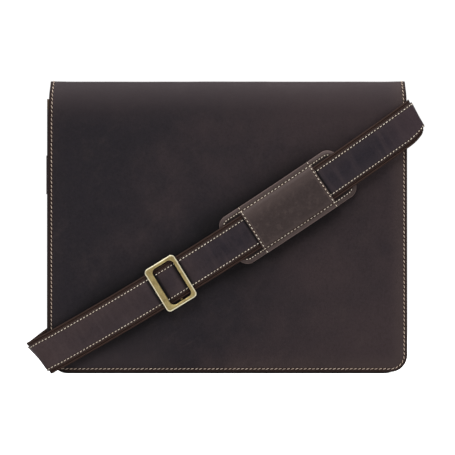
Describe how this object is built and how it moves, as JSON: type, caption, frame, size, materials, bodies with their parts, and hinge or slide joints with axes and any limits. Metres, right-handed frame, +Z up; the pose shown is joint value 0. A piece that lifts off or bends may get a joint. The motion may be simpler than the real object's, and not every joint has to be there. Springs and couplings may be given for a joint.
{
  "type": "briefcase",
  "caption": "Slim flap-over leather briefcase standing upright, its webbing shoulder strap with slider and stitched pad wrapped diagonally round the body.",
  "frame": {"origin": "centre of the base, on the surface the briefcase stands on", "axes": "+X to the right seen from the front, +Y from the flap's front to the back, +Z up"},
  "size_m": [0.4216, 0.0792, 0.309],
  "materials": {
    "flap_leather": "dark brown oiled leather with a fine grain and paler worn edges",
    "body_leather": "dark brown oiled leather",
    "strap_leather": "dark brown leather facing with two rows of cream stitching",
    "pad_leather": "softer, slightly paler brown leather",
    "webbing": "ribbed dark brown webbing",
    "antique_brass": "antique brass with bright rims"
  },
  "bodies": {
    "root": {"back_panel": "body_leather", "front_panel": "body_leather", "gusset": "body_leather", "flap": "flap_leather", "ring_left": "antique_brass", "ring_right": "antique_brass", "ring_tab_left": "body_leather", "ring_tab_right": "body_leather", "long_strap_webbing": "webbing", "long_strap_facing": "strap_leather", "short_strap_webbing": "webbing", "short_strap_facing": "strap_leather", "slider_buckle": "antique_brass", "shoulder_pad": "pad_leather", "pad_bridge": "pad_leather"}
  },
  "joints": []
}
